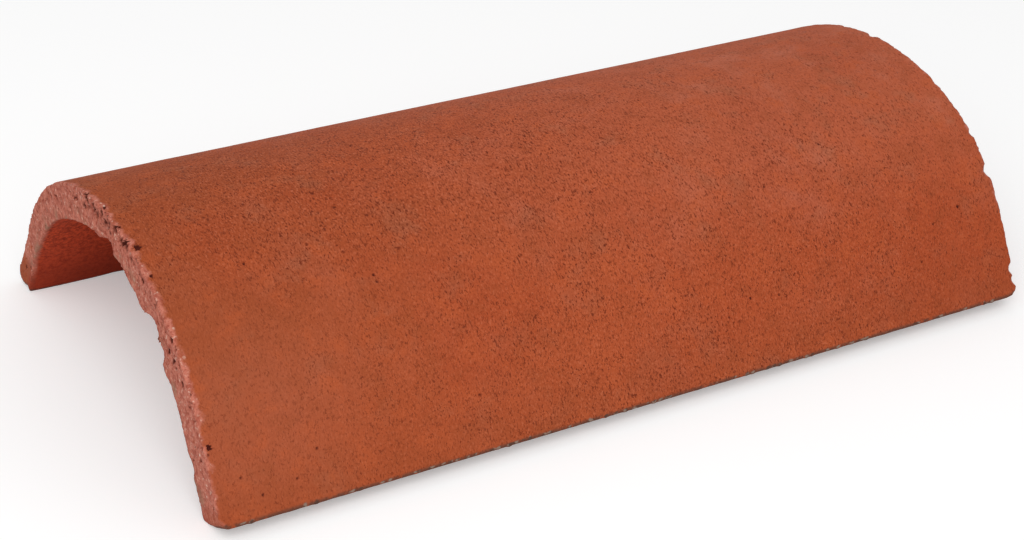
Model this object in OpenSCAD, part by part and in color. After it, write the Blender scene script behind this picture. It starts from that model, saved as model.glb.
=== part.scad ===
// Third-round ridge tile: one arched length of even wall, open underneath,
// that lies astride a roof ridge and butts end to end with its neighbours.
// X runs along the ridge, Y across it and Z up. The tile rests on Z = 0,
// and the origin is midway along it, between its two feet.

/* [Tile] */
// Length along the ridge
tile_length = 450; // [300:1:600]
// Thickness of the wall, the same all round the arch
wall = 16; // [10:0.5:22]

/* [Arch] */
// Outside radius of the crown
crown_r = 135; // [90:1:220]
// Half of the angle that the crown takes up
crown_half_angle = 25; // [10:1:40]
// Outside radius of each shoulder, between the crown and a leg
shoulder_r = 104; // [70:1:150]

/* [Legs] */
// Lean of each leg, outwards from upright
leg_flare = 30; // [10:1:45]
// Straight length of each leg below its shoulder
leg_length = 45; // [25:1:80]

/* [Edges] */
// Radius of the two lower corners of each side
corner_r = 7; // [4:0.5:20]
// Radius of the arrises along each foot
foot_arris = 2; // [0.5:0.1:4]

/* [Hidden] */
$fn = 96;
// longest flat that an arc is made of, and the fewest flats in one
flat_length = 5;
fewest_flats = 5;
// how far the round of a lower corner runs out past the two edges that it joins
corner_run = 0.2;
// how far a cutter reaches past the faces that it cuts
overcut = 1;
// angle from the top of the arch at which each shoulder runs straight into its leg
leg_angle = 90 - leg_flare;

// Points of the section are [across, up], here on the +Y side.
// Directions down the leg and from its outer face into the wall
down_leg = [sin(leg_flare), -cos(leg_flare)];
inward = -[cos(leg_flare), sin(leg_flare)];
// depth that the arris takes off the inner corner of a foot, which is the lowest point of the tile
arris_loss = foot_arris * (sin(leg_flare) + cos(leg_flare) - 1);
// centres of the shoulder's arc, the crown's arc and the two arrises of a foot, and the foot's outer corner
shoulder = [(crown_r - shoulder_r) * sin(crown_half_angle),
            leg_length * cos(leg_flare) - (shoulder_r - wall) * sin(leg_flare) - arris_loss];
crown = [0, shoulder[1] - (crown_r - shoulder_r) * cos(crown_half_angle)];
foot = shoulder - shoulder_r * inward + leg_length * down_leg;
outer_arris = foot + foot_arris * (inward - down_leg);
inner_arris = foot + (wall - foot_arris) * inward - foot_arris * down_leg;

// Points along an arc between two angles from the top, starting with point number first
function arc(centre, r, from, to, first = 0) =
    let (flats = max(fewest_flats, ceil(r * abs(to - from) * PI / 180 / flat_length)))
    [for (i = [first:flats]) let (a = from + (to - from) * i / flats) centre + r * [sin(a), cos(a)]];
function reversed(points) = [for (i = [len(points) - 1:-1:0]) points[i]];
function mirrored(points) = [for (p = points) [-p[0], p[1]]];

// One shoulder and leg: down the outside, round the foot, which is square to the leg, and up the inside
function side_outline() = concat(
    arc(shoulder, shoulder_r, crown_half_angle, leg_angle, 1),
    arc(outer_arris, foot_arris, leg_angle, leg_angle + 90),
    arc(inner_arris, foot_arris, leg_angle + 90, leg_angle + 180),
    reversed(arc(shoulder, shoulder_r - wall, crown_half_angle, leg_angle, 1)));

module section() {
    polygon(concat(
        arc(crown, crown_r, -crown_half_angle, crown_half_angle),
        side_outline(),
        arc(crown, crown_r - wall, crown_half_angle, -crown_half_angle),
        reversed(mirrored(side_outline()))));
}

// What the lower corner of a side loses when it is rounded: X along the tile, Y up the leg from
// its foot, Z through the wall from its outer face
module corner_waste() {
    centre = corner_r - corner_run;
    translate([0, 0, -overcut]) linear_extrude(wall + 2 * overcut) difference() {
        translate([-overcut, -overcut]) square(centre + overcut);
        translate([centre, centre]) circle(corner_r);
    }
}

module ridge_tile() {
    color("#a8492f") difference() {
        rotate([90, 0, 90]) linear_extrude(tile_length, center = true) section();
        for (end = [0, 1], side = [0, 1])
            mirror([end, 0, 0]) mirror([0, side, 0])
                translate([-tile_length / 2, foot[0], foot[1]])
                    rotate([90 + leg_flare, 0, 0]) corner_waste();
    }
}

ridge_tile();
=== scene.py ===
# Third-round ridge tile of fired clay: a slab bent over a former, with a pitted skin and two torn ends
import math
import random

import bmesh
import bpy
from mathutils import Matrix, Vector, kdtree, noise


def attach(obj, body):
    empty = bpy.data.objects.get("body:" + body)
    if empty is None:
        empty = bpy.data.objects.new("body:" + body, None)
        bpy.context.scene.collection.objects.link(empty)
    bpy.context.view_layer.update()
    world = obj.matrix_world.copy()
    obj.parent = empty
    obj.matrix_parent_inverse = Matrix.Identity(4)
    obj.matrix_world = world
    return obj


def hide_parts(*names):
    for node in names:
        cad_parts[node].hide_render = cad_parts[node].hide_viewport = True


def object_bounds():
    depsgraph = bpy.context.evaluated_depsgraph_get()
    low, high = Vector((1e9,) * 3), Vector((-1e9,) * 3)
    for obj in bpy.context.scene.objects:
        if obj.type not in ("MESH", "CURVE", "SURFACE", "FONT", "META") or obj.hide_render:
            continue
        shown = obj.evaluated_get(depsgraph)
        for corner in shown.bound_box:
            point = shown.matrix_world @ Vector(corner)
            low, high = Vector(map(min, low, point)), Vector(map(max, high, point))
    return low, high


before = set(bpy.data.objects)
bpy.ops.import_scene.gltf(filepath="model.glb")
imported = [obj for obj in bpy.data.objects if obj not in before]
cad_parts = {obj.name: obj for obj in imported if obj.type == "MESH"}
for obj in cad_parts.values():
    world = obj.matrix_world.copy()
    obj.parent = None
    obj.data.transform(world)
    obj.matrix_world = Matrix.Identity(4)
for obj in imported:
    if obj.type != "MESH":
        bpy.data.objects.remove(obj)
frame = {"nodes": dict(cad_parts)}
cadLow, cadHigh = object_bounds()
print("frame loaded:", ", ".join(frame["nodes"]))

mm = 0.001
alongAxis, aroundAxis, throughAxis = 0, 1, 2     # the slab before it is bent: length, girth, wall

# the tile's own section, as the frame has it
tile = {
    "wall": 16 * mm,
    "crownRadius": 135 * mm,        # to the outside of the wall
    "crownHalfAngle": 25,
    "shoulderRadius": 104 * mm,     # to the outside of the wall
    "legFlare": 30,                 # lean of a leg from upright
    "legLength": 45 * mm,
    "footArris": 2 * mm,
    "arrisRagged": 0.5,             # share by which the arris comes and goes
    "arrisSize": 7 * mm,
    "nearCorners": (5 * mm, 1.5 * mm),     # radius of the lower corners, on the -Y and the +Y side
    "farCorners": (6 * mm, 6 * mm),
    "outOfSquare": (0.004, -0.016),      # slope of the near and the far end across the tile
}
halfCrown = math.radians(tile["crownHalfAngle"])
flare = math.radians(tile["legFlare"])
crownMid = tile["crownRadius"] - tile["wall"] / 2
shoulderMid = tile["shoulderRadius"] - tile["wall"] / 2
crownRun = crownMid * halfCrown
shoulderRun = shoulderMid * (math.pi / 2 - flare - halfCrown)
halfLength = (cadHigh.x - cadLow.x) / 2
halfGirth = crownRun + shoulderRun + tile["legLength"]
halfWall = tile["wall"] / 2
halfSize = Vector((halfLength, halfGirth, halfWall))

# how finely the slab is cut
cuts = {
    "cell": (3.6 * mm, 2 * mm, 2 * mm),
    "endRows": 4,                   # rows that the last row at each end is cut into
    "rowSlack": 1.05,
    "endBand": 8.5 * mm,            # from each end, where cells are cut again around and through the wall
    "endParts": 3,
    "footBand": 4.2 * mm,           # from each foot, where cells are cut again every way
    "footParts": 2,
    "inLine": 0.99,                 # share of its length by which an edge lies along an axis
}


def runs(bm, axes, keep=lambda place: True):
    # edges that lie along one of the axes, where both their ends are kept
    found = []
    for edge in bm.edges:
        a, b = (vert.co for vert in edge.verts)
        step = a - b
        if any(abs(step[axis]) > cuts["inLine"] * step.length for axis in axes) and keep(a) and keep(b):
            found.append(edge)
    return found


def subdivide(bm, edges, parts):
    bmesh.ops.subdivide_edges(bm, edges=edges, cuts=parts - 1, use_grid_fill=True, use_single_edge=True)


def cutSlab():
    bm = bmesh.new()
    bmesh.ops.create_cube(bm, size=2)
    bmesh.ops.scale(bm, vec=halfSize, verts=bm.verts)
    for axis, cell in enumerate(cuts["cell"]):
        subdivide(bm, runs(bm, [axis]), round(2 * halfSize[axis] / cell))
    lastRow = halfLength - cuts["rowSlack"] * cuts["cell"][alongAxis]
    subdivide(bm, runs(bm, [alongAxis], lambda p: abs(p.x) > lastRow), cuts["endRows"])
    band = halfLength - cuts["endBand"]
    subdivide(bm, runs(bm, [aroundAxis, throughAxis], lambda p: abs(p.x) > band), cuts["endParts"])
    foot = halfGirth - cuts["footBand"]
    everyAxis = [alongAxis, aroundAxis, throughAxis]
    subdivide(bm, runs(bm, everyAxis, lambda p: abs(p.y) > foot and abs(p.x) < band), cuts["footParts"])
    return bm


# pits in the skin, from where it was pressed: some in known places, the rest scattered
skinPits = {
    "seed": 11,
    "count": 80,
    "spread": 0.97,                 # share of the skin that they are scattered over, each way
    "radius": (0.5 * mm, 1.0 * mm),
    "depth": 0.8,                   # times the radius
    "shadeFrom": 1.3 * mm,           # painted shade in the pits; smaller pits get less of it
    "placed": (                     # along, around, radius
        (-222, -123, 1.5), (-223, -126, 0.8), (198, -107, 1.1), (180, -112, 0.9),
        (168, -129, 0.9), (-211, -139, 0.9), (-186, -146, 0.9), (-221, -30, 2.2),
        (-223.5, -15, 1.3), (-223.5, 2, 1.5), (-222, -47, 1.2),
    ),
    "refine": (4.4 * mm, 2.8 * mm, 1.8 * mm),    # from each pit, cells are halved again
}


def pickSkinPits():
    rng = random.Random(skinPits["seed"])
    spread = skinPits["spread"]
    picked = [(Vector((x * mm, s * mm, halfWall)), r * mm) for x, s, r in skinPits["placed"]]
    for _ in range(skinPits["count"]):
        x = rng.uniform(-spread, spread) * halfLength
        s = rng.uniform(-spread, spread) * halfGirth
        picked.append((Vector((x, s, halfWall)), rng.uniform(*skinPits["radius"])))
    return picked


def refineAt(bm, centres, reach):
    tree = kdtree.KDTree(len(centres))
    for index, centre in enumerate(centres):
        tree.insert(centre, index)
    tree.balance()
    near = {vert for vert in bm.verts if tree.find(vert.co)[2] < reach}
    subdivide(bm, [edge for edge in bm.edges if near.issuperset(edge.verts)], 2)


# the tear at each end, where the slab was pulled from its neighbour
tear = {
    "fade": 6 * mm,                 # from the end, along the skin
    "swell": 0.5 * mm,              # slow rise and fall of the torn face
    "swellSize": 14 * mm,
    "swellNoise": (1.0, 2.0, 2),    # smoothness, step between octaves, octaves
    "grain": 0.5 * mm,
    "grainSize": 2.4 * mm,
    "grainNoise": (0.8, 2.0, 3),
    "slit": 2.2 * mm,               # tear marks that run through the wall
    "slitFrom": 0.16,               # noise that is lower leaves no mark
    "slitWidth": 1.9 * mm,
    "slitLength": 8 * mm,
    "slitReach": 80 * mm,           # from the crest, where they are deepest, down each side
    "slitLeast": 0.2,               # what is left of them on the legs
    "slitShade": 2.4,                # painted shade in the slits, most under the outer skin, none at the inner one
    "slitShadeMost": 0.4,
    "nibble": 1.0 * mm,             # what crumbled off along the edges of the torn face
    "nibbleSize": 4.2 * mm,
    "innerNibble": 0.4,             # share of it along the inner edge
    "outerRound": (0.5 * mm, 2.2 * mm),
    "innerRound": (0.3 * mm, 1.5 * mm),
    "roundSize": 10 * mm,
    "roundNoise": (0.9, 2.0, 3),
    "roundSkew": 1.5,               # above 1, small rounds are commoner
    "lipReach": 26 * mm,            # the wall swells or thins towards the near end, on its inside
    "lip": (                        # around, and by how much
        (160, -1), (130, -3.5), (105, 0), (65, 2), (40, 2),
        (25, 1), (-20, 1), (-40, 3), (-80, 5), (-160, 5),
    ),
    "faceShift": 3.7,               # these keep the noise of the two ends, and of the two edges, apart
    "slitShift": 5.1,
    "roundShift": (8.3, 4.1),
}


def slitDepth(side, s, z):
    across = Vector((side * tear["slitShift"], s / tear["slitWidth"], z / tear["slitLength"]))
    strength = max(tear["slitLeast"], 1 - abs(s) / tear["slitReach"])
    return max(0.0, noise.noise(across) - tear["slitFrom"]) * strength


def tearDepth(side, s, z):
    at = Vector((side * tear["faceShift"], s, z))
    swell = 0.5 + 0.5 * noise.fractal(at / tear["swellSize"], *tear["swellNoise"])
    grain = 0.5 + 0.5 * noise.fractal(at / tear["grainSize"], *tear["grainNoise"])
    even = max(0.0, swell) * tear["swell"] + grain * tear["grain"]
    return even + slitDepth(side, s, z) * tear["slit"]


def roundedEdge(place, axisA, axisB, radius):
    a = abs(place[axisA]) - (halfSize[axisA] - radius)
    b = abs(place[axisB]) - (halfSize[axisB] - radius)
    if a > 0 and b > 0:
        shrink = max(a, b) / math.hypot(a, b)
        place[axisA] = math.copysign(halfSize[axisA] - radius + a * shrink, place[axisA])
        place[axisB] = math.copysign(halfSize[axisB] - radius + b * shrink, place[axisB])


def endRound(place):
    least, most = tear["outerRound"] if place.z > 0 else tear["innerRound"]
    endShift, edgeShift = tear["roundShift"]
    at = Vector((math.copysign(endShift, place.x), place.y / tear["roundSize"], edgeShift))
    at.z = math.copysign(at.z, place.z)
    share = 0.5 + 0.5 * noise.fractal(at, *tear["roundNoise"])
    return least + (most - least) * share ** tear["roundSkew"]


def lipDepth(place):
    along = max(0.0, 1 - (place.x + halfLength) / tear["lipReach"])
    around = place.y / mm
    for (above, aboveLip), (below, belowLip) in zip(tear["lip"], tear["lip"][1:]):
        if around >= below:
            share = (around - below) / (above - below)
            return along ** 2 * mm * (belowLip + (aboveLip - belowLip) * share)


# how even the moulded faces are
skin = {
    "wave": 0.3 * mm,
    "waveSize": 70 * mm,
    "waveNoise": (1.0, 2.0, 2),
    "ripple": 0.1 * mm,
    "rippleSize": 9 * mm,
    "rippleNoise": (0.9, 2.0, 2),
    "streak": 0.08 * mm,            # faint lines along the tile, left by the former
    "streakSize": 5 * mm,
    "streakStretch": 40,
    "noiseShift": 6.4,              # keeps the noise of the two faces apart
}


def skinDrop(place):
    face = math.copysign(skin["noiseShift"], place.z)
    at = Vector((place.x, place.y, face))
    wave = noise.fractal(at / skin["waveSize"], *skin["waveNoise"])
    ripple = noise.fractal(at / skin["rippleSize"], *skin["rippleNoise"])
    streak = noise.noise(Vector((place.x / skin["streakStretch"], place.y, face)) / skin["streakSize"])
    drop = (1 + wave) * skin["wave"] + (1 + ripple) * skin["ripple"] + (1 + streak) * skin["streak"]
    return max(0.0, drop / 2)


def workSlab(bm):
    pitShade = bm.verts.layers.float["pitShade"]
    endFace = halfLength - mm / 10
    for vert in bm.verts:
        start = vert.co.copy()
        place = vert.co
        place.z -= skinDrop(start) * start.z / halfWall
        if start.z < 0:
            place.z += lipDepth(start) * start.z / halfWall
        roundedEdge(place, alongAxis, throughAxis, endRound(start))
        ragged = 1 + tile["arrisRagged"] * noise.noise(start / tile["arrisSize"])
        roundedEdge(place, aroundAxis, throughAxis, tile["footArris"] * ragged)
        corners = tile["nearCorners"] if start.x < 0 else tile["farCorners"]
        roundedEdge(place, alongAxis, aroundAxis, corners[start.y > 0])
        fromEnd = halfLength - abs(start.x)
        if fromEnd < tear["fade"]:
            side = math.copysign(1, start.x)
            hold = 1 - fromEnd / tear["fade"]
            place.x -= side * hold * tearDepth(side, start.y, start.z)
            nibble = max(0.0, noise.noise(start / tear["nibbleSize"])) * tear["nibble"]
            share = 1.0 if start.z > 0 else tear["innerNibble"]
            place.z -= hold ** 2 * share * nibble * (start.z / halfWall) ** 3
            # the slits are also marked for painted shade on the end face
            if abs(start.x) > endFace:
                outward = start.z / tile["wall"] + 0.5
                paintedShade = tear["slitShade"] * outward * slitDepth(side, start.y, start.z)
                vert[pitShade] = min(tear["slitShadeMost"], paintedShade)


# holes, bites and lumps, each pushed into the slab or drawn out of it
endPits = {
    "seed": 23,
    "count": 170,                   # at each end, thickest at the crest
    "radius": (0.6 * mm, 1.5 * mm),
    "depth": 1.2,                   # times the radius
    "through": (1.2, 1.8),          # a beta spread through the wall, most of it under the outer skin
    "paintedShade": (1.3, 0.6),             # painted shade in the pits, of the placed pits and of the scattered ones
    "nearPlaced": (                 # around, under the outer skin, radius
        (20, 2, 2.7), (37, 6, 1.5), (32, 5, 1.5), (23, 7, 2.0), (11, 4, 2.4), (2, 2, 2.2),
        (7, 7, 1.5), (-2, 5, 1.7), (-7, 3, 1.9), (-14, 2, 2.2), (-8, 7, 1.4), (-21, 4, 2.8),
        (-25, 2, 2.6), (-45, 5, 1.5), (-59, 5, 1.4), (-77, 2, 1.8), (-79, 9, 1.4), (-84, 8, 1.5),
        (-95, 6, 1.6), (-128, 7, 1.1), (149, 6, 1.3), (143, 12, 1.2),
    ),
}
bites = {
    # around, width and depth: off the inner edge of the near end, and off the outer edge of the far end
    "inNear": ((-3, 9, 2), (-61, 10, 2.6), (-74, 6, 1.6), (-131, 5, 0.8)),
    "outFar": (
        (9, 3, 1.1), (-94, 4, 1.4), (-145, 3.5, 1.3), (-151, 3, 1.1),
        (-74, 2.2, 0.8), (60, 4, 1.4), (120, 3, 1.1),
    ),
    "along": 0.8,                   # how far a bite goes along the tile, times its depth
    "tips": ((-46, 6, 1), (-85, 7, 2)),     # clay left standing on that inner edge
    "ragged": 0.25,
}
lumps = {
    "burr": (                       # along, around, through the wall, radius, pushed out, pushed down
        (-223, 155, 8, 2.6, 2.6, 0), (-223, 157, 8, 3.4, 1.5, 3), (-223, 159, 4, 8, 0.3, 4.5),
    ),
    "smear": (-225, 153, 14),       # along, around, radius: skin that was dragged over the burr
    "smearRagged": 0.2,
    "crumbSeed": 5,
    "crumbs": 200,
    "crumbSpread": 0.96,            # share of the length that they lie along
    "crumbAbove": 0.7 * mm,         # above the foot
    "crumbRadius": (0.7 * mm, 1.5 * mm),
    "crumbHeight": 0.55,            # times the radius
}


class Dents:
    ragged = 0.7                    # share by which the edge of a dent comes and goes
    raggedSize = 0.9 * mm

    def __init__(self, bm, places):
        self.verts = list(bm.verts)
        self.tree = kdtree.KDTree(len(places))
        for index, place in enumerate(places):
            self.tree.insert(place, index)
        self.tree.balance()

    def push(self, centre, radius, move, layer, mark=1.0, ragged=ragged):
        for place, index, gap in self.tree.find_range(centre, radius * (1 + ragged)):
            edge = radius * (1 + ragged * noise.noise(place / self.raggedSize))
            depth = 1 - (gap / edge) ** 2
            if depth > 0:
                vert = self.verts[index]
                vert.co += move * depth
                vert[layer] = max(vert[layer], depth * mark)


def endPitList():
    rng = random.Random(endPits["seed"])
    spread = skinPits["spread"]
    placedShade, scatteredShade = endPits["paintedShade"]
    listed = []
    for s, under, radius in endPits["nearPlaced"]:
        listed.append((-1, s * mm, halfWall - under * mm, radius * mm, placedShade))
    for side in (-1, 1):
        for _ in range(endPits["count"]):
            s = rng.triangular(-spread, spread) * halfGirth
            z = halfWall - rng.betavariate(*endPits["through"]) * 2 * halfWall
            radius = rng.triangular(*endPits["radius"], endPits["radius"][0])
            listed.append((side, s, z, radius, scatteredShade))
    return listed


def pushPits(dents, pits, pitShade):
    # each pit is pushed in and marked for painted shade in its hollow
    for centre, radius in pits:
        move = Vector((0, 0, -radius * skinPits["depth"]))
        dents.push(centre, radius, move, pitShade, min(1.0, radius / skinPits["shadeFrom"]) ** 2)
    for side, s, z, radius, paintedShade in endPitList():
        move = Vector((-side * radius * endPits["depth"], 0, 0))
        dents.push(Vector((side * halfLength, s, z)), radius, move, pitShade, paintedShade)


def pushBites(dents, chip):
    for row, side in ((bites["inNear"], -1), (bites["outFar"], 1)):
        for s, width, depth in row:
            centre = Vector((side * halfLength, s * mm, side * halfWall))
            move = -side * depth * mm * Vector((bites["along"], 0, 1))
            dents.push(centre, width * mm, move, chip, ragged=bites["ragged"])
    for s, width, out in bites["tips"]:
        centre = Vector((-halfLength, s * mm, -halfWall))
        dents.push(centre, width * mm, Vector((0, 0, -out * mm)), chip, ragged=bites["ragged"])


def pushLumps(dents, smear, crumb):
    for x, s, z, radius, out, down in lumps["burr"]:
        move = Vector((0, down * mm, out * mm))
        dents.push(Vector((x, s, z)) * mm, radius * mm, move, smear, ragged=lumps["smearRagged"])
    x, s, radius = lumps["smear"]
    dents.push(Vector((x * mm, s * mm, 0)), radius * mm, Vector(), smear, ragged=lumps["smearRagged"])
    rng = random.Random(lumps["crumbSeed"])
    spread = lumps["crumbSpread"]
    for _ in range(lumps["crumbs"]):
        side = rng.choice((-1, 1))
        radius = rng.uniform(*lumps["crumbRadius"])
        x = rng.uniform(-spread, spread) * halfLength
        centre = Vector((x, side * (halfGirth - lumps["crumbAbove"]), halfWall))
        dents.push(centre, radius, Vector((0, side, 1)) * (radius * lumps["crumbHeight"]), crumb)


# bending: the slab's middle line goes over the crown, round a shoulder and straight down a leg
downLeg = Vector((0, math.sin(flare), -math.cos(flare)))
arrisLoss = tile["footArris"] * (math.sin(flare) + math.cos(flare) - 1)
innerShoulder = tile["shoulderRadius"] - tile["wall"]
shoulderCentre = Vector((
    0,
    (tile["crownRadius"] - tile["shoulderRadius"]) * math.sin(halfCrown),
    tile["legLength"] * math.cos(flare) - innerShoulder * math.sin(flare) - arrisLoss))
crownDrop = (tile["crownRadius"] - tile["shoulderRadius"]) * math.cos(halfCrown)
crownCentre = Vector((0, 0, shoulderCentre.z - crownDrop))


def bent(place):
    run = abs(place.y)
    if run <= crownRun:
        centre, radius, angle, leg = crownCentre, crownMid, run / crownMid, 0.0
    else:
        turn = min(run - crownRun, shoulderRun) / shoulderMid
        centre, radius, angle = shoulderCentre, shoulderMid, halfCrown + turn
        leg = max(0.0, run - crownRun - shoulderRun)
    out = Vector((0, math.sin(angle), math.cos(angle)))
    made = centre + out * (radius + place.z) + downLeg * leg
    made.y = math.copysign(made.y, place.y)
    made.x = place.x
    return made


def slopeEnds(place):
    # each end slopes a little across the tile, inwards from the frame's own end
    halfWidth = cadHigh.y
    nearSlope, farSlope = tile["outOfSquare"]
    share = (place.x + halfLength) / (2 * halfLength)
    near = abs(nearSlope) * halfWidth + nearSlope * place.y
    far = -abs(farSlope) * halfWidth + farSlope * place.y
    place.x += (1 - share) * near + share * far


def keepInside(place):
    for axis in range(3):
        place[axis] = min(max(place[axis], cadLow[axis]), cadHigh[axis])


def makeTile():
    pits = pickSkinPits()
    bm = cutSlab()
    for reach in skinPits["refine"]:
        refineAt(bm, [centre for centre, radius in pits], reach)
    bmesh.ops.triangulate(bm, faces=[face for face in bm.faces if len(face.verts) > 4])
    names = ("fromEnd", "fromFoot", "height", "pitShade", "crumb", "chip", "smear")
    layers = {name: bm.verts.layers.float.new(name) for name in names}
    places = [vert.co.copy() for vert in bm.verts]
    for vert in bm.verts:
        vert[layers["fromEnd"]] = halfLength - abs(vert.co.x)
        vert[layers["fromFoot"]] = halfGirth - abs(vert.co.y)
        vert[layers["height"]] = vert.co.z / (2 * halfWall) + 0.5
    workSlab(bm)
    dents = Dents(bm, places)
    pushPits(dents, pits, layers["pitShade"])
    pushBites(dents, layers["chip"])
    pushLumps(dents, layers["smear"], layers["crumb"])
    for vert in bm.verts:
        vert.co = bent(vert.co)
        slopeEnds(vert.co)
        keepInside(vert.co)
    for face in bm.faces:
        face.smooth = True
    bmesh.ops.recalc_face_normals(bm, faces=bm.faces)
    mesh = bpy.data.meshes.new("ridge_tile_clay")
    bm.to_mesh(mesh)
    bm.free()
    piece = bpy.data.objects.new("ridge_tile_clay", mesh)
    bpy.context.collection.objects.link(piece)
    print("tile shaped:", sum(len(p.vertices) - 2 for p in mesh.polygons), "triangles")
    return piece


# colours as they look under plain light, linear
clay = {
    "skin": (0.425, 0.079, 0.0245, 1),
    "orange": (0.48, 0.094, 0.027, 1),
    "brown": (0.285, 0.060, 0.017, 1),
    "red": (0.37, 0.058, 0.016, 1),
    "film": (0.50, 0.152, 0.088, 1),
    "grey": (0.29, 0.125, 0.070, 1),
    "speck": (0.17, 0.025, 0.007, 1),
    "sand": (0.62, 0.18, 0.090, 1),
    "torn": (0.56, 0.180, 0.122, 1),
    "tornDeep": (0.29, 0.050, 0.028, 1),
    "grain": (0.82, 0.56, 0.45, 1),
    "stain": (0.30, 0.17, 0.11, 1),
    # painted shade, laid dark in the pits and slits
    "pitShadeColour": (0.080, 0.011, 0.006, 1),
    # the inner face, redder than the skin: painted bounce light, for the red light that goes to and fro
    # inside the arch
    "inside": (0.65, 0.080, 0.026, 1),
    # darker mottle on the inner face, and also its painted shade low down
    "insideDark": (0.27, 0.027, 0.009, 1),
    "crumb": (0.26, 0.18, 0.14, 1),
    # dark brown: painted shade along the outer foot, and also the dark of the crumbs
    "footShadeAndSoil": (0.10, 0.045, 0.030, 1),
    "roughness": 0.88,
    "roughnessDrop": 0.12,          # on the tops of the grit
    "specular": 0.15,
    "bump": 0.55,
    "bumpHeight": 0.35 * mm,
    "gritSize": 0.9 * mm,           # of the bump
    "wander": 1.1 * mm,             # how far the specks are pushed about, so that none is round
    "wanderSize": 1.5 * mm,
    "drawn": (1.5, 0.6, 0.8),       # scale of the grit and specks, which are drawn out around the arch
}

# clouds that the colours are laid by: size, detail, roughness, noise where it starts and is full, strength
clouds = {
    "warm": (60 * mm, 2.0, 0.5, 0.40, 0.70, 0.45),
    "film": (34 * mm, 4.0, 0.65, 0.45, 0.80, 1.0),
    "grey": (20 * mm, 3.0, 0.65, 0.52, 0.74, 0.30),
    "darker": (12 * mm, 3.0, 0.6, 0.48, 0.68, 0.28),
    "lighter": (12 * mm, 3.0, 0.6, 0.50, 0.30, 0.40),
    "sand": (1.0 * mm, 2.0, 0.6, 0.47, 0.30, 0.30),
    "grit": (1.0 * mm, 2.0, 0.6, 0.52, 0.68, 0.44),
    "specks": (2.0 * mm, 3.0, 0.7, 0.59, 0.67, 1.0),
    "fineSpecks": (1.15 * mm, 2.0, 0.6, 0.585, 0.675, 1.0),
    "crowding": (20 * mm, 3.0, 0.6, 0.35, 0.65, 1.0),
    "inside": (2 * mm, 3.0, 0.7, 0.35, 0.70, 1.0),
    "tornShade": (4 * mm, 4.0, 0.75, 0.42, 0.66, 0.7),
    "tornDark": (1.7 * mm, 2.0, 0.6, 0.54, 0.68, 0.7),
    "tornPale": (1.7 * mm, 2.0, 0.6, 0.42, 0.28, 0.5),
    "footShadeAndSoil": (5 * mm, 3.0, 0.65, 0.30, 0.50, 0.8),
    "grime": (4 * mm, 2.0, 0.5, 0.45, 0.55, 1.0),
}

# round marks on the torn ends: size of a cell, share of cells that have one, its radius in cells, strength
marks = {
    "grains": (3.4 * mm, 0.35, 0.42, 0.85),
    # dark spots: painted shade of small holes in the torn face
    "holeShadeSpots": (2.4 * mm, 0.35, 0.30, 0.7),
}

# where each change starts and where it is full
zones = {
    # along the tile
    "rightward": (-170 * mm, 140 * mm),
    "scorched": (120 * mm, -190 * mm),
    "farRed": (20 * mm, 200 * mm),
    "nearLeg": (-130 * mm, -190 * mm),
    "farHalf": (0, 100 * mm),
    "busyLeg": (-190 * mm, 0),
    "calmLeg": (110 * mm, 210 * mm),
    "calmCrest": (-60 * mm, 180 * mm),
    "pastNearEnd": (-220 * mm, -150 * mm),
    # across it
    "leftLeg": (40 * mm, 90 * mm),
    # up it
    "crest": (45 * mm, 100 * mm),
    "upTheLeg": (15 * mm, 80 * mm),
    "aboveFoot": (0, 25 * mm),
    "low": (40 * mm, 5 * mm),
    "lowTorn": (55 * mm, 20 * mm),
    "lowInsideShade": (50 * mm, 0),
    "busyCrest": (75 * mm, 101 * mm),
    # through the wall, from the inside to the outside
    "insideFace": (0.35, 0.05),
    "innerWall": (0.55, 0.1),
    "outerWall": (0.1, 0.6),
    "outerSkin": (0.85, 1),
    # from the end, from the foot, and on the marks themselves
    "tornEdge": (3.4 * mm, 0.1 * mm),
    "rubbed": (13 * mm, 3 * mm),
    "footShadeAndSoil": (2.6 * mm, 0.6 * mm),
    "stain": (0.52, 0.74),
    "smear": (0.02, 0.75),
    "chip": (0.1, 0.4),
    "crumb": (0.15, 0.5),
    "pitShade": (0.05, 0.6),
}

# how much of each is laid; of a pair, the first is laid everywhere and the second is added in its zone
amounts = {
    "scorch": (0.34, 0.41),
    "scorchSize": 90 * mm,
    "scorchDrift": 160 * mm,        # how far the scorching wanders along the tile
    "farRed": 0.5,
    "lowBrown": 0.32,
    "nearBrown": 0.12,
    "film": (0.12, 0.15),
    "crestFilm": (0.075, 0.225),
    "crestVeil": 0.27,
    "nearVeil": 0.2,
    "grey": (0.5, 0.5),
    "busyLeg": (0.6, 0.6),          # grit and specks show most on the crest and least on the near leg
    "calmLeg": 0.4,
    "busyCrest": (1.6, -0.9),
    "busyEnd": (0.7, 0.3),
    "specks": (0.35, 0.55),
    "fineSpecks": (0.5, 0.55),
    "insideShade": 0.8,
    "stain": 0.7,
    "stainSize": 9 * mm,
    "stainLeft": 0.14,
    "tornDrift": 11 * mm,           # how far the edge of the torn ends wanders
    "tornDriftSize": 6 * mm,
    "tornDriftMiddle": 0.45,
    "tornDriftOut": (0.15, 0.85),
    "wholeSkin": 1.8 * mm,          # how much further the skin reaches at the far end and low on the legs
    "smear": 0.85,
    "rubbed": 0.5,
    "relief": (0.35, 0.9),
    "speckRelief": 0.8,
    "fineSpeckRelief": 0.5,
}


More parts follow.
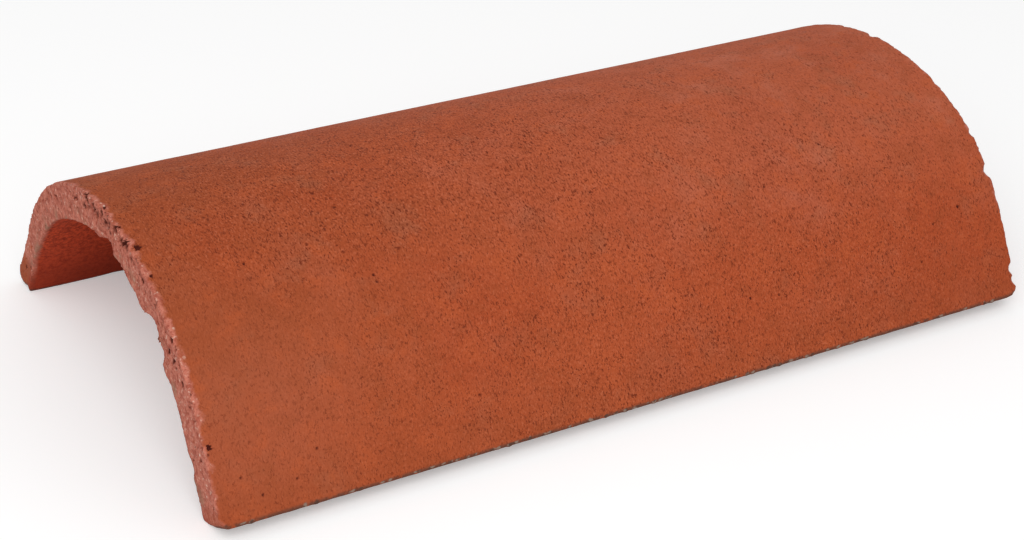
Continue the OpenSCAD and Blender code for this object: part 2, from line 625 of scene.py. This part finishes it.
# shader sums are written as plain sums of wires
class Wire:
    def __init__(self, tree, socket=None):
        self.tree = tree
        self.socket = socket

    def node(self, kind, settings=None, sockets=None, output=0):
        made = self.tree.nodes.new(kind)
        for name, value in (settings or {}).items():
            setattr(made, name, value)
        for key, value in (sockets or {}).items():
            if isinstance(value, Wire):
                self.tree.links.new(value.socket, made.inputs[key])
            else:
                made.inputs[key].default_value = value
        return Wire(self.tree, made.outputs[output] if made.outputs else None)

    def sum(self, operation, first, second=0.0):
        return self.node("ShaderNodeMath", {"operation": operation}, {0: first, 1: second})

    def __add__(self, other):
        return self.sum("ADD", self, other)

    def __radd__(self, other):
        return self.sum("ADD", other, self)

    def __sub__(self, other):
        return self.sum("SUBTRACT", self, other)

    def __rsub__(self, other):
        return self.sum("SUBTRACT", other, self)

    def __mul__(self, other):
        return self.sum("MULTIPLY", self, other)

    def __rmul__(self, other):
        return self.sum("MULTIPLY", other, self)

    def ramp(self, start, full):
        # 0 at start and 1 at full, eased; start may be the larger
        return self.node("ShaderNodeMapRange", {"interpolation_type": "SMOOTHSTEP"},
                         {"Value": self, "From Min": start, "From Max": full})

    def paint(self, under, over):
        # the colour over, laid on the colour under by this wire's amount
        return self.node("ShaderNodeMix", {"data_type": "RGBA"}, {0: self, 6: under, 7: over}, 2)

    def axis(self, number):
        return self.node("ShaderNodeSeparateXYZ", {}, {0: self}, number)

    def noise(self, size, detail=2.0, rough=0.5, output=0):
        sockets = {"Vector": self, "Scale": 1 / size, "Detail": detail, "Roughness": rough}
        return self.node("ShaderNodeTexNoise", {}, sockets, output)

    def cloud(self, name):
        size, detail, rough, start, full, strength = clouds[name]
        return self.noise(size, detail, rough).ramp(start, full) * strength

    def zone(self, name):
        return self.ramp(*zones[name])

    def lift(self, name):
        least, added = amounts[name]
        return least + added * self

    def attribute(self, name):
        return self.node("ShaderNodeAttribute", {"attribute_name": name}, {}, "Fac")

    def spots(self, name):
        size, share, radius, strength = marks[name]
        voronoi = {"Vector": self, "Scale": 1 / size}
        gap = self.node("ShaderNodeTexVoronoi", {}, voronoi)
        colour = self.node("ShaderNodeTexVoronoi", {}, voronoi, "Color")
        red = self.node("ShaderNodeSeparateColor", {}, {0: colour}, "Red")
        green = self.node("ShaderNodeSeparateColor", {}, {0: colour}, "Green")
        reach = red.ramp(1 - share, 1) * radius * (0.5 + 0.5 * green)
        inside = self.sum("GREATER_THAN", reach, 0.02) * (1 - self.sum("DIVIDE", gap, reach)).ramp(0, 0.6)
        return strength * inside


def busyShare(along, up):
    legBusy = along.zone("busyLeg").lift("busyLeg") - amounts["calmLeg"] * along.zone("calmLeg")
    crestBusy = along.zone("calmCrest").lift("busyCrest")
    busy = legBusy + up.zone("busyCrest") * (crestBusy - legBusy)
    return busy * along.zone("pastNearEnd").lift("busyEnd")


def skinColour(at, drawn, specks, fineSpecks):
    along = at.axis(0)
    up = at.axis(2)
    crest = up.zone("crest")
    rightward = along.zone("rightward")
    nearLeg = along.zone("nearLeg") * (1 - crest) * up.zone("aboveFoot")
    scorch = (along + at.noise(amounts["scorchSize"]) * amounts["scorchDrift"]).zone("scorched")
    scorch = scorch * up.zone("upTheLeg").lift("scorch")
    farRed = amounts["farRed"] * (along.zone("farRed") * (1 - crest))
    low = amounts["lowBrown"] * up.zone("low") + amounts["nearBrown"] * nearLeg
    filmy = rightward.lift("film") + crest * rightward.lift("crestFilm")
    veil = amounts["crestVeil"] * (crest * rightward) + amounts["nearVeil"] * nearLeg
    colour = scorch.paint(clay["skin"], clay["brown"])
    colour = at.cloud("warm").paint(colour, clay["red"])
    colour = farRed.paint(colour, clay["red"])
    colour = (at.cloud("film") * filmy + veil).paint(colour, clay["film"])
    colour = low.paint(colour, clay["brown"])
    colour = (at.cloud("grey") * crest.lift("grey")).paint(colour, clay["grey"])
    colour = at.cloud("darker").paint(colour, clay["brown"])
    colour = at.cloud("lighter").paint(colour, clay["orange"])
    busy = busyShare(along, up)
    crowding = at.cloud("crowding")
    colour = (busy * drawn.cloud("sand")).paint(colour, clay["sand"])
    colour = (busy * drawn.cloud("grit")).paint(colour, clay["speck"])
    colour = (busy * specks * crowding.lift("specks")).paint(colour, clay["speck"])
    return (busy * fineSpecks * crowding.lift("fineSpecks")).paint(colour, clay["speck"])


def insideColour(at):
    colour = at.cloud("inside").paint(clay["inside"], clay["insideDark"])
    # painted shade: the inner face darkens towards the foot
    return (amounts["insideShade"] * at.axis(2).zone("lowInsideShade")).paint(colour, clay["insideDark"])


def tornColour(at, loose, height):
    colour = loose.cloud("tornShade").paint(clay["torn"], clay["tornDeep"])
    colour = loose.cloud("tornDark").paint(colour, clay["tornDeep"])
    colour = loose.cloud("tornPale").paint(colour, clay["grain"])
    colour = loose.spots("grains").paint(colour, clay["grain"])
    stain = at.noise(amounts["stainSize"]) + amounts["stainLeft"] * at.axis(1).zone("leftLeg")
    stain = amounts["stain"] * (stain.zone("stain") * height.zone("innerWall"))
    # painted shade of small holes, laid in the speck colour
    return loose.spots("holeShadeSpots").paint(stain.paint(colour, clay["stain"]), clay["speck"])


def tornShare(at, bench, height):
    drift = at.noise(amounts["tornDriftSize"], detail=3.0, rough=0.6) - amounts["tornDriftMiddle"]
    drift = drift * height.zone("outerWall").lift("tornDriftOut")
    wholeSkin = (at.axis(0).zone("farHalf") + at.axis(2).zone("lowTorn")) * height.zone("outerSkin")
    fromEnd = bench.attribute("fromEnd") - drift * amounts["tornDrift"] + wholeSkin * amounts["wholeSkin"]
    torn = fromEnd.zone("tornEdge")
    torn = torn * (1 - amounts["smear"] * bench.attribute("smear").zone("smear"))
    torn = torn * (1 - amounts["rubbed"] * bench.attribute("fromFoot").zone("rubbed"))
    return bench.sum("MAXIMUM", torn, bench.attribute("chip").zone("chip"))


def firedClay():
    material = bpy.data.materials.new("fired_clay")
    material.use_nodes = True
    tree = material.node_tree
    tree.nodes.clear()
    bench = Wire(tree)
    at = bench.node("ShaderNodeTexCoord", {}, {}, "Object")
    wander = at.noise(clay["wanderSize"], detail=1.0, output="Color")
    shift = at.node("ShaderNodeVectorMath", {"operation": "SCALE"}, {0: wander, "Scale": clay["wander"]})
    loose = at.node("ShaderNodeVectorMath", {"operation": "ADD"}, {0: at, 1: shift})
    drawn = at.node("ShaderNodeVectorMath", {"operation": "MULTIPLY"}, {0: loose, 1: clay["drawn"]})
    height = bench.attribute("height")

    specks = drawn.cloud("specks")
    fineSpecks = drawn.cloud("fineSpecks")
    colour = skinColour(at, drawn, specks, fineSpecks)
    colour = height.zone("insideFace").paint(colour, insideColour(at))
    torn = tornShare(at, bench, height)
    colour = torn.paint(colour, tornColour(at, loose, height))
    # painted shade: a broken dark line along the outer foot, where it meets the floor
    footShadeAndSoil = at.cloud("footShadeAndSoil") * bench.attribute("fromFoot").zone("footShadeAndSoil")
    colour = footShadeAndSoil.paint(colour, clay["footShadeAndSoil"])
    grime = at.cloud("grime").paint(clay["crumb"], clay["footShadeAndSoil"])
    colour = bench.attribute("crumb").zone("crumb").paint(colour, grime)
    # painted shade in the pits and slits
    colour = bench.attribute("pitShade").zone("pitShade").paint(colour, clay["pitShadeColour"])

    grit = at.noise(clay["gritSize"], detail=3.0, rough=0.6)
    relief = grit * torn.lift("relief")
    relief = relief - specks * amounts["speckRelief"] - fineSpecks * amounts["fineSpeckRelief"]
    bump = at.node("ShaderNodeBump", {}, {
        "Strength": clay["bump"], "Distance": clay["bumpHeight"], "Height": relief})
    shader = bench.node("ShaderNodeBsdfPrincipled", {}, {
        "Base Color": colour, "Roughness": clay["roughness"] - clay["roughnessDrop"] * grit,
        "Specular IOR Level": clay["specular"], "Normal": bump})
    bench.node("ShaderNodeOutputMaterial", {}, {"Surface": shader})
    print("clay mixed:", len(tree.nodes), "nodes")
    return material


# the studio: white floor, a large soft lamp from the front left and an even sky
studio = {
    "floorSize": 8.0,
    "floorGap": 0.2 * mm,           # under the tile
    "floorColour": (0.8, 0.8, 0.8, 1),
    "floorGlow": 0.3,
    "sky": 0.62,
    "skyColour": (1, 1, 1, 1),
    "lampPlace": (-0.9, -1.3, 1.5),
    "lampSize": 1.6,
    "lampPower": 22,
}


def seenRays(bench):
    # camera, mirror and glass rays, which see the background as white
    camera = bench.node("ShaderNodeLightPath", {}, {}, "Is Camera Ray")
    glossy = bench.node("ShaderNodeLightPath", {}, {}, "Is Glossy Ray")
    through = bench.node("ShaderNodeLightPath", {}, {}, "Is Transmission Ray")
    return bench.sum("MINIMUM", camera + glossy + through, 1.0)


def makeFloor():
    bm = bmesh.new()
    bmesh.ops.create_grid(bm, x_segments=1, y_segments=1, size=studio["floorSize"] / 2)
    bmesh.ops.translate(bm, vec=(0, 0, cadLow.z - studio["floorGap"]), verts=bm.verts)
    mesh = bpy.data.meshes.new("floor")
    bm.to_mesh(mesh)
    bm.free()
    floor = bpy.data.objects.new("floor", mesh)
    bpy.context.collection.objects.link(floor)
    material = bpy.data.materials.new("floor_white")
    material.use_nodes = True
    material.node_tree.nodes.clear()
    bench = Wire(material.node_tree)
    matt = bench.node("ShaderNodeBsdfDiffuse", {}, {"Color": studio["floorColour"]})
    glow = bench.node("ShaderNodeEmission", {}, {"Strength": seenRays(bench) * studio["floorGlow"]})
    both = bench.node("ShaderNodeAddShader", {}, {0: matt, 1: glow})
    bench.node("ShaderNodeOutputMaterial", {}, {"Surface": both})
    mesh.materials.append(material)
    return floor


def makeSky():
    world = bpy.data.worlds.new("soft_sky")
    bpy.context.scene.world = world
    world.use_nodes = True
    world.node_tree.nodes.clear()
    bench = Wire(world.node_tree)
    level = studio["sky"] + (1 - studio["sky"]) * seenRays(bench)
    sky = bench.node("ShaderNodeBackground", {}, {"Color": studio["skyColour"], "Strength": level})
    bench.node("ShaderNodeOutputWorld", {}, {"Surface": sky})


def makeLamp():
    lamp = bpy.data.lights.new("soft_lamp", "AREA")
    lamp.shape = "SQUARE"
    lamp.size = studio["lampSize"]
    lamp.energy = studio["lampPower"]
    holder = bpy.data.objects.new("soft_lamp", lamp)
    holder.location = studio["lampPlace"]
    holder.rotation_euler = (-holder.location).to_track_quat("-Z", "Y").to_euler()
    bpy.context.collection.objects.link(holder)


# the photograph's own view: bearing and height round the tile, roll, and what the lens looks at
view = {
    "bearing": -32.343,
    "height": 29.514,
    "roll": 3.071,
    "distance": 1.10013,
    "target": (-7.17 * mm, 0.45 * mm, 15.72 * mm),
    "lens": 75.85,
    "sensor": 36,
}


def makeCamera():
    turn = math.radians(view["bearing"])
    lift = math.radians(view["height"])
    back = Vector((math.sin(turn) * math.cos(lift), -math.cos(turn) * math.cos(lift), math.sin(lift)))
    data = bpy.data.cameras.new("camera")
    data.sensor_width = view["sensor"]
    data.lens = view["lens"]
    camera = bpy.data.objects.new("camera", data)
    camera.location = Vector(view["target"]) + back * view["distance"]
    camera.rotation_euler = back.to_track_quat("Z", "Y").to_euler()
    camera.rotation_euler.rotate_axis("Z", math.radians(view["roll"]))
    bpy.context.collection.objects.link(camera)
    bpy.context.scene.camera = camera


ridgeTile = makeTile()
ridgeTile.data.materials.append(firedClay())
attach(ridgeTile, "root")
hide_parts("ridge_tile")
makeFloor()
makeSky()
makeLamp()
makeCamera()
bpy.context.scene.view_settings.view_transform = "Standard"
print("studio set")
